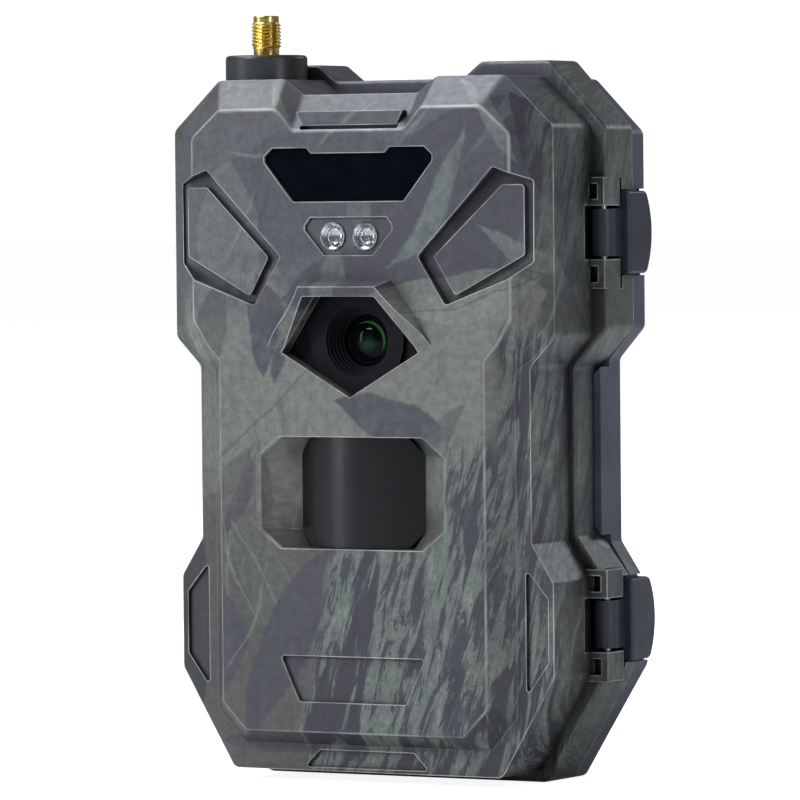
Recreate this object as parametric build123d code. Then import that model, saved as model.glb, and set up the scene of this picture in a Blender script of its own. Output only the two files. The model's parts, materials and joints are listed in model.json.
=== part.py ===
"""Cellular trail camera: front half on a side hinge, over-centre latches, battery half behind.

X runs across the front, +Y points back into the camera and +Z is up.  The origin is the mouth
of the tripod socket in the base.  Depths are counted back from the flat front panel.
"""
from build123d import *
import os

# ---------------------------------------------------------------- driving dimensions (mm)
SOCKET_DEPTH = 44.0         # tripod socket axis behind the front panel
FACET_DEPTH = 5.5           # the bevelled nose ends here
FLANGE_FRONT = 21.3         # front of the clamping flange
PARTING = 32.65             # back of the front half
REAR_FRONT = 32.8           # front of the rear half
RIM_BACK = 37.5             # the rear half starts to taper here
REAR_BACK = 56.0            # back wall of the rear half
TREE_RIB_BACK = 63.0        # the ribs that bear on the tree
FACE_WALL = 3.0             # thickness of the front panel
CORNER = 2.0                # rounding of the moulded corners
EDGE = 0.7                  # rounding of the moulded edges

# Half outlines, right-hand side, from the bottom to the top: (x, z)
PANEL = [(25.1, 10.6), (30.6, 16.1), (30.6, 86.1), (33.5, 89.2), (36.6, 94.4),
         (36.6, 131.1), (30.3, 136.5), (16.9, 136.5), (13.1, 132.1)]
FACET = [(29.0, 7.5), (35.1, 14.5), (35.1, 83.5), (39.6, 86.6), (44.3, 91.6),
         (44.3, 132.8), (33.4, 143.0), (17.8, 143.0), (13.3, 139.7)]
SHOULDER = [(31.4, 2.1), (43.5, 22.5), (43.5, 41.5), (38.6, 49.2), (38.6, 84.6), (44.3, 90.5),
            (44.3, 132.8), (33.4, 143.0), (17.8, 143.0), (13.3, 139.7)]
FLANGE = [(33.0, 0.0), (47.7, 23.6), (47.7, 39.7), (40.2, 50.0), (40.2, 84.0), (47.7, 92.0),
          (47.7, 132.4), (35.0, 146.1), (19.0, 146.1), (14.6, 142.7)]
REAR_RIM = [(33.0, 0.0), (47.7, 23.6), (47.7, 39.7), (41.9, 48.5), (41.9, 85.5), (47.7, 92.0),
            (47.7, 131.5), (37.0, 142.4)]
REAR_START = [(32.4, 0.6), (47.0, 24.0), (47.0, 39.4), (41.2, 48.2), (41.2, 85.8), (47.0, 92.3),
              (47.0, 131.2), (36.7, 141.7)]
REAR_END = [(24.0, 6.0), (34.0, 27.0), (34.0, 38.0), (29.5, 46.0), (29.5, 87.0), (34.0, 93.0),
            (34.0, 124.0), (25.0, 133.0)]
CAVITY = [(29.5, 5.6), (40.1, 23.5), (40.1, 40.4), (35.2, 48.2), (35.2, 86.0), (40.9, 91.9),
          (40.9, 131.4), (32.0, 139.0)]

# Front openings and trims
IR_WINDOW = [(12.95, 118.0), (19.6, 126.0), (19.6, 127.3), (17.8, 128.9), (9.6, 128.9), (8.6, 127.75)]
FLASH_WINDOW = [(5.7, 107.15), (10.2, 112.2), (10.2, 113.2), (8.9, 114.8)]
LENS_OPENING = [(0.0, 78.4), (16.05, 87.5), (8.4, 98.9)]
HOOD_BASE = [(19.2, 88.75), (15.9, 95.1), (9.9, 102.35)]
HOOD_RIDGE = [(19.2, 88.75), (12.2, 94.5), (8.9, 100.9)]
HOOD_RISE = 5.3             # the rain hood stands this far out at its ridge
LENS_Z = 89.8
PIR_OPENING = [(16.8, 47.7), (22.1, 51.9), (22.1, 66.2), (16.8, 70.4)]
PIR_THROAT = [(11.3, 47.9), (14.5, 51.4), (14.5, 66.7), (11.3, 70.2)]
PIR_DEPTH = 5.4
PIR_BULGE = 3.4
PAD = [(39.35, 121.1), (34.5, 121.1), (19.3, 106.8), (24.0, 98.9), (39.35, 107.0)]
PAD_GROOVE = [(41.0, 121.9), (33.4, 124.7), (29.5, 120.6), (16.0, 106.9), (22.3, 97.0),
              (36.6, 102.2), (40.9, 105.6)]
PAD_INNER_DEPTH = 0.9
PAD_OUTER_DEPTH = 2.4
BADGE = [(12.5, 16.6), (16.9, 25.9)]
BASE_TRIM = [(14.5, 2.9), (11.0, 6.4)]
EAR_POCKET = [(37.2, 18.7), (42.2, 25.5), (42.2, 38.2), (37.2, 44.2)]
TOP_BAR = [(11.0, 133.4), (12.5, 136.3)]

# Antenna
ANTENNA_X = -27.2
ANTENNA_DEPTH = 14.0
BOSS_RADIUS = 8.4
BOSS_BASE = 143.0
BOSS_TOP = 148.1
SMA_RADIUS = 3.175          # threaded end
SMA_BODY_RADIUS = 3.6       # plain body, seated in the boss
SMA_BODY_BASE = 134.0
SMA_BORE_RADIUS = 2.3
SMA_CONTACT_RADIUS = 0.65
SMA_TOP = 156.2
COAX_RADIUS = 0.65

# Latches on the right-hand side
LATCH_X = 45.3
LATCH_DEPTH = 24.5
LATCH_PIN_RADIUS = 0.75
LATCH_PIN_PLAY = 0.05
LATCH_BARREL_RADIUS = 2.4
LUG_FRONT = 20.3
LUG_BACK = 27.9
LUG_OUTER_X = 47.7
LUG_CHEEK_X = 46.2
LUG_FIN = 1.3
LUG_CORE = 2.3
LUG_CORNER = 3.5
POCKET_X = 42.05
# name: (lower lug, barrel, upper lug, paddle), each as (low z, high z)
LATCHES = {
    "upper": ((100.0, 105.85), (106.5, 116.0), (116.7, 122.4), (102.9, 119.6)),
    "lower": ((20.85, 26.8), (27.5, 37.1), (37.7, 43.5), (24.7, 41.4)),
}
PADDLE_FRONT = 28.4
PADDLE_BACK = 38.6
PADDLE_INNER_X = 46.3
PADDLE_OUTER_X = 49.1
PADDLE_CORNER = 1.6
PADDLE_EDGE = 0.6
PADDLE_BOW = 2.4            # the back edge bows out this far
PADDLE_GAP = 0.4            # between a paddle and the pocket round it

# Hinge on the left-hand side
HINGE_X = -49.9
HINGE_DEPTH = 32.75
HINGE_RADIUS = 2.7
HINGE_PIN_RADIUS = 1.0
HINGE_PIN_PLAY = 0.06       # radial play of the pins in the front half's knuckles
HINGE_LEAF_X = -44.5        # the knuckles' leaves run into the wall up to here
KNUCKLE_GAP = 0.15
KNUCKLE_RELIEF = 0.4        # room round a knuckle in the other half
# two leaves; in each the rear half holds the outer knuckles and the front half the middle one
HINGE_LEAVES = ((25.2, 39.0), (96.0, 128.0))

# Inside the front half; pairs are (near, far) depths
NOSE_BACK = 8.9
NOSE_ROOM = [(22.5, 13.6), (27.6, 18.6), (27.6, 87.4), (27.6, 129.6), (25.0, 133.4),
             (12.6, 133.4), (10.6, 129.4)]
PIR_TUB = [(19.5, 45.5), (24.6, 50.0), (24.6, 68.1), (19.5, 72.6)]
PAD_GROOVE_DEPTH = 1.1
PIR_Z = 59.0
PIR_BOARD = (18.0, 19.2)
FLASH_X = (-3.8, 3.8)
FLASH_Z = 111.0
FLASH_RADIUS = 2.9
FLASH_BOARD = (3.7, 4.7)
LED_BOARD = (6.4, 7.6)
LED_ROWS = (120.4, 125.6)
LED_COLUMNS = 8
LED_PITCH = 4.3
LED_RADIUS = 1.5
LED_SHOULDER = 4.8          # depth at which an infrared lamp's dome starts
BARREL_FRONT = 8.0
GLASS_RADIUS = 5.3
GLASS_FRONT = 6.6
GLASS_BACK = 9.6
GLASS_BALL = 9.0            # radius of the front surface
BEZEL_RADIUS = 10.8
BEZEL_TUBE = 8.4
BAFFLE_RADII = (7.3, 6.9, 6.5, 6.1, 5.7)
BAFFLE_START = 3.0
BAFFLE_STEP = 0.8
BARREL_RADIUS = 7.0
BARREL_BACK = 19.0
REAR_GLASS_RADIUS = 4.4
SENSOR_BOARD = (22.4, 23.6)
MAIN_BOARD = (24.4, 26.0)
PANEL_FRONT = 29.4
PANEL_BACK = 31.0
PANEL_SCREWS = ((-36.4, 127.0), (36.4, 127.0), (-36.4, 97.5), (36.4, 97.5), (-35.8, 29.0), (35.8, 29.0))
SCREW_RADIUS = 1.1
SCREW_TIP = 18.0            # depth of the screw's tip
SCREW_HEAD_RADIUS = 2.1
SCREW_HEAD = 1.1            # height of the head
POST_RADIUS = 3.0
POST_BORE_START = 16.0
STANDOFF_RADIUS = 2.0
STANDOFF_X = (-30.0, 30.0)
STANDOFF_Z = (66.0, 124.0)
LCD_X = (-19.5, 19.5)
LCD_Z = (88.0, 116.0)
SD_X = (7.8, 31.4)
SIM_X = (-29.4, -20.6)
KEYS = {"up": (0.0, 76.0), "down": (0.0, 56.0), "left": (-10.0, 66.0), "right": (10.0, 66.0),
        "ok": (0.0, 66.0)}
KEY_RADIUS = 3.4
KEY_BACK = 31.7
SWITCH_Z = 47.0
SWITCH_SLOT_X = (-13.3, -0.7)

# Rear half
BATTERY_X = (-22.5, -7.5, 7.5, 22.5)
BATTERY_ROWS = (44.4, 97.6)
CELL_RADIUS = 7.1
CELL_LENGTH = 49.2
CELL_DEPTH = 44.6
CONTACT_RADIUS = 2.8
CONTACT_LENGTH = 1.0
TRAY_X = (-25.4, 25.4)
TRAY_WALL_X = (-27.0, 27.0)
TRAY_WALLS_Z = ((17.2, 18.8), (70.2, 71.8), (123.2, 124.8))
SOCKET_RADIUS = 2.55
SOCKET_LENGTH = 8.0
INSERT_RADIUS = 5.0
JACK_X = -22.0
JACK_RADIUS = 4.0
JACK_BORE_RADIUS = 2.75     # takes a 5.5 mm barrel plug
JACK_PIN_RADIUS = 1.0
JACK_MOUTH = 2.2
FLAP_ARM = 7.3              # from the jack's axis to the flap's pivot
FLAP_Z = 1.1
FLAP_HALF = 0.8             # half the flap's thickness, and its pivot's radius
INSERT_LENGTH = 10.5
REAR_CAVITY = [(29.5, 5.6), (40.1, 23.5), (40.1, 40.4), (35.2, 48.2), (35.2, 86.0), (40.9, 91.9),
               (40.9, 129.0), (32.0, 136.0)]
REAR_CAVITY_END = [(22.0, 9.0), (31.0, 28.0), (31.0, 37.0), (27.6, 45.5), (27.6, 88.0), (31.0, 94.0),
                   (31.0, 122.0), (23.0, 130.0)]
GASKET_INSET = 3.4
GASKET_WIDTH = 1.4
GASKET_SEAT = 34.0
LATCH_POCKET_X = 45.2
TOE_X = 46.15
TOE_INSET = 2.0
TOE_GAP = 0.15
TREE_RIB_X = 21.0
TREE_RIB_HALF = 3.0
TREE_RIB_Z = (30.0, 118.0)
TREE_RIB_CHAMFER = 4.0
TOOTH_COUNT = 9
TOOTH_START = 38.0
TOOTH_PITCH = 9.0
TOOTH_SIZE = 2.2            # square cut on its corner between two teeth
STRAP_DEPTH = (56.0, 60.8)
STRAP_Z = (58.0, 88.0)


# ---------------------------------------------------------------- helpers
def level(depth):
    """Plane parallel to the panel, at this depth: local x is X and local y is Z."""
    return Plane(origin=(0, depth - SOCKET_DEPTH, 0), x_dir=(1, 0, 0), z_dir=(0, -1, 0))


def mirrored(half):
    """Whole outline from its right half; a point on the centre line is used once."""
    left = [(-x, z) for x, z in reversed(half) if x > 0]
    return half + left


def face_of(points, radius=0.0):
    """Flat face of an outline, with rounded corners."""
    face = make_face(Polyline(*points, close=True))
    return fillet(face.vertices(), radius) if radius else face


def slab(points, near, far, radius=0.0):
    """Prism of an outline between two depths."""
    return extrude(level(far) * face_of(points, radius), far - near)


def taper(near_points, near, far_points, far, radius=0.0):
    """Straight-sided solid between two outlines at two depths."""
    return loft([level(near) * face_of(near_points, radius),
                 level(far) * face_of(far_points, radius)], ruled=True)


def block(x, depth, z):
    """Box from three (low, high) pairs."""
    size = (x[1] - x[0], depth[1] - depth[0], z[1] - z[0])
    return Pos(x[0], depth[0] - SOCKET_DEPTH, z[0]) * Box(*size, align=(Align.MIN,) * 3)


def rod_z(x, depth, radius, z):
    """Cylinder that stands along Z, z being a (low, high) pair."""
    solid = Cylinder(radius, z[1] - z[0], align=(Align.CENTER, Align.CENTER, Align.MIN))
    return Pos(x, depth - SOCKET_DEPTH, z[0]) * solid


def rod_y(x, z, radius, depth):
    """Cylinder that points along the depth, depth being a (near, far) pair."""
    return extrude(level(depth[1]) * Pos(x, z) * Circle(radius), depth[1] - depth[0])


def edges_between(shape, near, far):
    """Edges that lie wholly between two depths."""
    low = near - SOCKET_DEPTH
    high = far - SOCKET_DEPTH
    return [e for e in shape.edges() if e.bounding_box().min.Y > low and e.bounding_box().max.Y < high]


def save(name, shape):
    """Write one sub-part."""
    export_step(shape, f"parts/{name}.step")


def group(solids):
    """Several separate solids as one node."""
    return Compound(children=[Solid(s.solid().wrapped) for s in solids])


# ---------------------------------------------------------------- front cover
def cover_blank():
    """Nose, side wall and flange of the front half, still solid."""
    nose = taper(mirrored(PANEL), 0.0, mirrored(FACET), FACET_DEPTH, CORNER)
    wall = slab(mirrored(SHOULDER), FACET_DEPTH, FLANGE_FRONT + 1.0, CORNER)
    nose = nose + wall
    nose = fillet(edges_between(nose, -0.01, 0.01), EDGE)
    flange = slab(mirrored(FLANGE), FLANGE_FRONT, PARTING, CORNER)
    flange = fillet(edges_between(flange, FLANGE_FRONT - 0.01, FLANGE_FRONT + 0.01), EDGE)
    return nose + flange


def behind_pad_plane(shift):
    """Everything behind the slanted plane of the side pads, moved back by shift."""
    slope = (PAD_OUTER_DEPTH - PAD_INNER_DEPTH) / (PAD[0][0] - PAD[2][0])
    x0, x1 = PAD[2][0] - 5.0, PAD[0][0] + 5.0
    y_pad = PAD_INNER_DEPTH + shift - SOCKET_DEPTH
    back = 12.0 - SOCKET_DEPTH
    profile = Polyline((x0, y_pad - 5.0 * slope), (x1, y_pad + (x1 - PAD[2][0]) * slope),
                       (x1, back), (x0, back), close=True)
    return extrude(Plane.XY * make_face(profile), 150.0)


def lens_hood():
    """Rain hood over the lens; its front slopes forward from the tips to the ridge."""
    hood = taper(mirrored(HOOD_RIDGE), -HOOD_RISE, mirrored(HOOD_BASE), 0.5)
    tip_z = HOOD_BASE[0][1]
    ridge_z = HOOD_RIDGE[2][1]
    front = -SOCKET_DEPTH
    slope = Polyline((front, tip_z), (front - HOOD_RISE, ridge_z), (front - HOOD_RISE, ridge_z + 5.0),
                     (front + 1.0, ridge_z + 5.0), (front + 1.0, tip_z), close=True)
    return hood & extrude(Plane.YZ * make_face(slope), 30.0, both=True)


def latch_lug(z):
    """One latch lug: two fins and an outer cheek round a core that holds the pin."""
    inner = block((POCKET_X - 0.3, LATCH_X), (LUG_FRONT, LUG_BACK), z)
    front = block((POCKET_X - 0.3, LUG_OUTER_X), (LUG_FRONT, LATCH_DEPTH), z)
    corner = rod_z(LATCH_X, LATCH_DEPTH, LUG_CORNER, z)
    corner &= block((LATCH_X, LUG_OUTER_X), (LATCH_DEPTH, LUG_BACK), z)
    between = (z[0] + LUG_FIN, z[1] - LUG_FIN)
    recess = block((POCKET_X, LUG_CHEEK_X), (LUG_FRONT - 1.0, LUG_BACK - 1.0), between)
    return inner + front + corner - (recess - rod_z(LATCH_X, LATCH_DEPTH, LUG_CORE, between))


def hinge_members(leaf):
    """Knuckle spans of one hinge leaf: (those of the rear half, that of the front half)."""
    low, high = leaf
    third = (high - low) / 3.0
    rear = [(low, low + third - KNUCKLE_GAP), (high - third + KNUCKLE_GAP, high)]
    return rear, [(low + third + KNUCKLE_GAP, high - third - KNUCKLE_GAP)]


def knuckles(spans, leaf_depth):
    """Barrels and leaves of one hinge member."""
    pieces = []
    for z in spans:
        pieces.append(rod_z(HINGE_X, HINGE_DEPTH, HINGE_RADIUS, z))
        pieces.append(block((HINGE_X, HINGE_LEAF_X), leaf_depth, z))
    return pieces


def hinge_relief(spans):
    """Room for the other half's knuckles."""
    radius = HINGE_RADIUS + KNUCKLE_RELIEF
    return [rod_z(HINGE_X, HINGE_DEPTH, radius, (z[0] - KNUCKLE_GAP, z[1] + KNUCKLE_GAP)) for z in spans]


def front_openings():
    """Everything cut through or into the front panel."""
    cuts = [slab(mirrored(IR_WINDOW), -1.0, 4.0, 0.3),
            slab(mirrored(FLASH_WINDOW), -1.0, 4.0, 0.3),
            slab(mirrored(LENS_OPENING), -7.0, 4.0, 0.3),
            slab(mirrored(PIR_OPENING), -1.0, 0.01),
            taper(mirrored(PIR_OPENING), 0.0, mirrored(PIR_THROAT), PIR_DEPTH),
            slab(mirrored(PIR_THROAT), PIR_DEPTH - 0.01, 9.0),
            slab(mirrored(BADGE), -1.0, 0.8, 0.6),
            slab(mirrored(BASE_TRIM), 4.5, FACET_DEPTH + 0.7, 0.4),
            slab(mirrored([(11.3, 132.6), (11.6, 133.4)]), -0.5, 2.4)]
    for side in (1, -1):
        cuts.append(slab([(side * x, z) for x, z in EAR_POCKET], 4.5, FACET_DEPTH + 0.7, 0.5))
    return cuts


def make_front_cover():
    """The whole front shell."""
    cover = cover_blank()
    cover -= slab(mirrored(CAVITY), NOSE_BACK, PARTING + 1.0, 1.5)
    cover -= slab(mirrored(NOSE_ROOM), FACE_WALL, NOSE_BACK + 0.5)
    cover += slab(mirrored(PIR_TUB), 1.0, PIR_DEPTH + 1.4)
    cover += lens_hood()
    groove = slab(PAD_GROOVE, -1.0, 7.0, 0.8) - behind_pad_plane(PAD_GROOVE_DEPTH)
    pad = slab(PAD, -1.0, 6.0, 0.8) & behind_pad_plane(0.0)
    for cut in [groove, mirror(groove, Plane.YZ)] + front_openings():
        cover -= cut
    cover = cover + pad + mirror(pad, Plane.YZ)
    cover += slab(mirrored(TOP_BAR), 0.9, 5.0, 0.3)
    # screw posts that carry the inner panel and the infrared board
    for x, z in PANEL_SCREWS:
        post = rod_y(x, z, POST_RADIUS, (NOSE_BACK - 1.0, PANEL_FRONT))
        cover += post & slab(mirrored(SHOULDER), NOSE_BACK - 1.0, PARTING)
        cover -= rod_y(x, z, SCREW_RADIUS, (POST_BORE_START, PARTING))
    for x in (-19.0, 19.0):
        cover += rod_y(x, 130.8, 1.6, (FACE_WALL - 1.0, LED_BOARD[0]))
    # antenna boss seat
    cover -= rod_z(ANTENNA_X, ANTENNA_DEPTH, BOSS_RADIUS, (BOSS_BASE, BOSS_TOP + 1.0))
    cover -= rod_z(ANTENNA_X, ANTENNA_DEPTH, SMA_BODY_RADIUS, (130.0, BOSS_BASE + 1.0))
    # latch pockets and lugs
    for lower, barrel, upper, paddle in LATCHES.values():
        cover -= block((POCKET_X, 49.0), (LUG_FRONT - 2.0, PARTING + 1.0), (lower[1], upper[0]))
        cover -= block((POCKET_X, 49.0), (LUG_BACK, PARTING + 1.0),
                       (paddle[0] - PADDLE_GAP, paddle[1] + PADDLE_GAP))
        for z in (lower, upper):
            cover -= block((LATCH_X - 1.2, 49.0), (LUG_FRONT, LUG_BACK), z)
            cover += latch_lug(z)
            cover -= rod_z(LATCH_X, LATCH_DEPTH, LATCH_PIN_RADIUS, z)
    # hinge
    for leaf in HINGE_LEAVES:
        rear, front = hinge_members(leaf)
        for cut in hinge_relief(rear):
            cover -= cut
        for piece in knuckles(front, (HINGE_DEPTH - 2.6, PARTING)):
            cover += piece
        bore = HINGE_PIN_RADIUS + HINGE_PIN_PLAY
        cover -= rod_z(HINGE_X, HINGE_DEPTH, bore, (leaf[0] - 1.0, leaf[1] + 1.0))
    return cover


# ---------------------------------------------------------------- windows, lamps and motion sensor
def make_optics():
    """Windows and lamps of the front panel."""
    save("ir_window", slab(mirrored(IR_WINDOW), 0.9, 2.4, 0.3))
    bezel = slab(mirrored(FLASH_WINDOW), 0.6, 2.8, 0.3)
    lenses = []
    chips = []
    for x in FLASH_X:
        bezel -= rod_y(x, FLASH_Z, FLASH_RADIUS, (0.0, 3.0))
        dome = Pos(x, 4.2 - SOCKET_DEPTH, FLASH_Z) * Sphere(4.0)
        lens = rod_y(x, FLASH_Z, FLASH_RADIUS, (0.2, 2.8)) & (dome + rod_y(x, FLASH_Z, 4.0, (1.4, 3.0)))
        lenses.append(lens)
        chips.append(block((x - 1.0, x + 1.0), (2.9, FLASH_BOARD[0]), (FLASH_Z - 1.0, FLASH_Z + 1.0)))
    save("flash_bezel", bezel)
    save("flash_lenses", group(lenses))
    save("flash_leds", group(chips))
    save("flash_board", block((-9.5, 9.5), FLASH_BOARD, (106.6, 115.6)))
    save("ir_led_board", block((-22.0, 22.0), LED_BOARD, (116.4, 129.0)) +
         block((-22.0, -13.6), LED_BOARD, (129.0, 132.6)) + block((13.6, 22.0), LED_BOARD, (129.0, 132.6)))
    leds = []
    for column in range(LED_COLUMNS):
        for z in LED_ROWS:
            x = (column - (LED_COLUMNS - 1) / 2.0) * LED_PITCH
            body = rod_y(x, z, LED_RADIUS, (LED_SHOULDER, LED_BOARD[0]))
            leds.append(body + (Pos(x, LED_SHOULDER - SOCKET_DEPTH, z) * Sphere(LED_RADIUS)))
    save("ir_leds", group(leds))
    radius = (PIR_THROAT[1][0] ** 2 + PIR_BULGE ** 2) / (2.0 * PIR_BULGE)
    axis_depth = PIR_DEPTH - PIR_BULGE + radius
    shell = rod_z(0.0, axis_depth, radius, (40.0, 80.0))
    shell -= rod_z(0.0, axis_depth, radius - 1.0, (40.0, 80.0))
    save("pir_lens", shell & slab(mirrored(PIR_THROAT), 1.0, PIR_DEPTH + 1.4))
    can = rod_y(0.0, PIR_Z, 4.1, (14.5, PIR_BOARD[0])) + rod_y(0.0, PIR_Z, 4.6, (17.2, PIR_BOARD[0]))
    save("pir_sensor", can)
    save("pir_board", block((-14.0, 14.0), PIR_BOARD, (49.0, 69.0)))


# ---------------------------------------------------------------- camera
def make_camera():
    """Lens, shutter and sensor, on one axis behind the V-shaped opening."""
    plate = slab(mirrored([(0.0, 75.6), (19.0, 87.2), (9.6, 100.6)]), 4.2, 5.2)
    plate += rod_y(0.0, LENS_Z, BEZEL_RADIUS, (3.2, 5.2))
    plate += rod_y(0.0, LENS_Z, BEZEL_TUBE, (5.0, BARREL_FRONT))
    depth = BAFFLE_START
    for radius in BAFFLE_RADII:
        depth += BAFFLE_STEP
        plate -= rod_y(0.0, LENS_Z, radius, (2.0, depth))
    plate -= rod_y(0.0, LENS_Z, GLASS_RADIUS, (2.0, BARREL_FRONT + 1.0))
    save("lens_bezel", plate)
    ball = Pos(0.0, GLASS_FRONT + GLASS_BALL - SOCKET_DEPTH, LENS_Z) * Sphere(GLASS_BALL)
    save("lens_front_glass", rod_y(0.0, LENS_Z, GLASS_RADIUS, (GLASS_FRONT, GLASS_BACK)) & ball)
    barrel = rod_y(0.0, LENS_Z, BARREL_RADIUS, (BARREL_FRONT, BARREL_BACK))
    barrel -= rod_y(0.0, LENS_Z, REAR_GLASS_RADIUS, (BARREL_FRONT, BARREL_BACK))
    barrel -= rod_y(0.0, LENS_Z, GLASS_RADIUS, (BARREL_FRONT, GLASS_BACK))
    save("lens_barrel", barrel)
    save("lens_rear_glass", rod_y(0.0, LENS_Z, REAR_GLASS_RADIUS, (16.0, 18.4)))
    holder = block((-12.0, 12.0), (14.0, SENSOR_BOARD[0]), (LENS_Z - 8.6, LENS_Z + 8.6))
    holder -= rod_y(0.0, LENS_Z, BARREL_RADIUS, (13.0, BARREL_BACK))
    holder -= rod_y(0.0, LENS_Z, 5.0, (13.0, 20.0))
    holder -= block((-10.2, 10.2), (19.8, SENSOR_BOARD[0]), (LENS_Z - 5.0, LENS_Z + 5.0))
    save("lens_holder", holder)
    shutter = block((-9.6, 3.0), (20.1, 20.7), (LENS_Z - 3.8, LENS_Z + 3.8))
    save("ir_cut_filter", shutter)
    save("image_sensor", block((-4.5, 4.5), (21.4, SENSOR_BOARD[0]), (LENS_Z - 4.0, LENS_Z + 4.0)))
    save("sensor_board", block((-14.0, 14.0), SENSOR_BOARD, (LENS_Z - 12.0, LENS_Z + 12.0)))


# ---------------------------------------------------------------- antenna
def make_antenna_port():
    """Round boss, threaded connector with its insulator and contact, and the coaxial lead."""
    whole = (SMA_BODY_BASE, SMA_TOP)
    boss = rod_z(ANTENNA_X, ANTENNA_DEPTH, BOSS_RADIUS, (BOSS_BASE, BOSS_TOP))
    boss = fillet(boss.edges().group_by(Axis.Z)[-1], 0.8)
    save("antenna_boss", boss - rod_z(ANTENNA_X, ANTENNA_DEPTH, SMA_BODY_RADIUS, (BOSS_BASE, BOSS_TOP)))
    sleeve = rod_z(ANTENNA_X, ANTENNA_DEPTH, SMA_BODY_RADIUS, (SMA_BODY_BASE, BOSS_TOP))
    sleeve += rod_z(ANTENNA_X, ANTENNA_DEPTH, SMA_RADIUS, (BOSS_TOP, SMA_TOP))
    save("sma_connector", sleeve - rod_z(ANTENNA_X, ANTENNA_DEPTH, SMA_BORE_RADIUS, whole))
    insulator = rod_z(ANTENNA_X, ANTENNA_DEPTH, SMA_BORE_RADIUS, (SMA_BODY_BASE, SMA_TOP - 1.9))
    save("sma_dielectric", insulator - rod_z(ANTENNA_X, ANTENNA_DEPTH, SMA_CONTACT_RADIUS, whole))
    save("sma_contact", rod_z(ANTENNA_X, ANTENNA_DEPTH, SMA_CONTACT_RADIUS, (SMA_BODY_BASE, SMA_TOP - 1.2)))
    near, far = ANTENNA_DEPTH - SOCKET_DEPTH, 20.9 - SOCKET_DEPTH
    route = FilletPolyline((ANTENNA_X, near, SMA_BODY_BASE), (ANTENNA_X, near, 122.0),
                           (ANTENNA_X, far, 108.0), (ANTENNA_X, far, 60.0), (-18.0, far, 50.0),
                           (-18.0, far, 42.0), radius=5.0)
    section = Plane(origin=(ANTENNA_X, near, SMA_BODY_BASE), z_dir=(0, 0, -1)) * Circle(COAX_RADIUS)
    save("coax_lead", sweep(section, path=route))


# ---------------------------------------------------------------- electronics and inner panel
def make_electronics():
    """Boards, modules and the small parts on them."""
    board = block((-32.5, 32.5), MAIN_BOARD, (14.0, 128.0))
    save("main_board", board)
    save("modem_module", block((-30.0, -6.0), (21.55, MAIN_BOARD[0]), (22.0, 46.0)))
    save("processor", block((4.0, 18.0), (22.9, MAIN_BOARD[0]), (52.0, 66.0)))
    save("speaker", rod_y(19.0, 34.0, 8.0, (20.4, MAIN_BOARD[0])))
    save("microphone", rod_y(2.0, 24.0, 2.0, (22.4, MAIN_BOARD[0])))
    save("lcd_module", block((-22.0, 22.0), (26.2, 29.2), (84.0, 120.0)))
    save("lcd_window", block(LCD_X, (PANEL_FRONT, PANEL_BACK - 0.2), LCD_Z))
    socket = block((SD_X[0] - 1.0, SD_X[1] + 1.0), (MAIN_BOARD[1], 29.2), (28.0, 52.0))
    save("sd_socket", socket - block((SD_X[0] - 0.2, SD_X[1] + 0.2), (26.4, 28.8), (20.0, 51.0)))
    save("sd_card", block(SD_X, (26.55, 28.65), (22.0, 50.5)))
    socket = block((SIM_X[0] - 1.0, SIM_X[1] + 1.0), (MAIN_BOARD[1], 27.9), (30.0, 42.0))
    save("sim_socket", socket - block((SIM_X[0] - 0.2, SIM_X[1] + 0.2), (26.4, 27.4), (20.0, 41.0)))
    save("sim_card", block(SIM_X, (26.55, 27.25), (26.0, 38.3)))


def make_inner_panel():
    """Black panel behind the boards, with its screen window, keys, switch and card bays."""
    panel = slab(mirrored(CAVITY), PANEL_FRONT, PANEL_BACK, 1.5)
    panel -= block(LCD_X, (PANEL_FRONT - 1.0, PANEL_BACK + 1.0), LCD_Z)
    panel -= block((SD_X[0] - 1.5, SD_X[1] + 1.0), (PANEL_FRONT - 1.0, PANEL_BACK + 1.0), (15.5, 27.5))
    panel -= block((SIM_X[0] - 1.5, SIM_X[1] + 1.5), (PANEL_FRONT - 1.0, PANEL_BACK + 1.0), (20.0, 29.5))
    panel -= block(SWITCH_SLOT_X, (PANEL_FRONT - 1.0, PANEL_BACK + 1.0), (SWITCH_Z - 1.6, SWITCH_Z + 1.6))
    for x, z in KEYS.values():
        panel -= rod_y(x, z, KEY_RADIUS + 0.2, (PANEL_FRONT - 1.0, PANEL_BACK + 1.0))
    for x, z in PANEL_SCREWS:
        panel -= rod_y(x, z, SCREW_RADIUS, (PANEL_FRONT - 1.0, PANEL_BACK + 1.0))
    for x in STANDOFF_X:
        for z in STANDOFF_Z:
            panel += rod_y(x, z, STANDOFF_RADIUS, (MAIN_BOARD[1], PANEL_FRONT + 0.5))
    save("inner_panel", panel)
    for name, (x, z) in KEYS.items():
        key = rod_y(x, z, KEY_RADIUS, (28.6, KEY_BACK)) + rod_y(x, z, KEY_RADIUS + 0.7, (28.2, 29.2))
        save(f"key_{name}", key)
    slider = block((-17.0, -5.0), (27.6, 29.2), (SWITCH_Z - 3.0, SWITCH_Z + 3.0))
    lever = block((-13.0, -9.0), (28.6, KEY_BACK + 0.2), (SWITCH_Z - 1.4, SWITCH_Z + 1.4))
    save("power_switch", slider + lever)
    screws = []
    for x, z in PANEL_SCREWS:
        shank = rod_y(x, z, SCREW_RADIUS, (SCREW_TIP, PANEL_BACK + 0.5))
        screws.append(shank + rod_y(x, z, SCREW_HEAD_RADIUS, (PANEL_BACK, PANEL_BACK + SCREW_HEAD)))
    save("panel_screws", group(screws))


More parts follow.
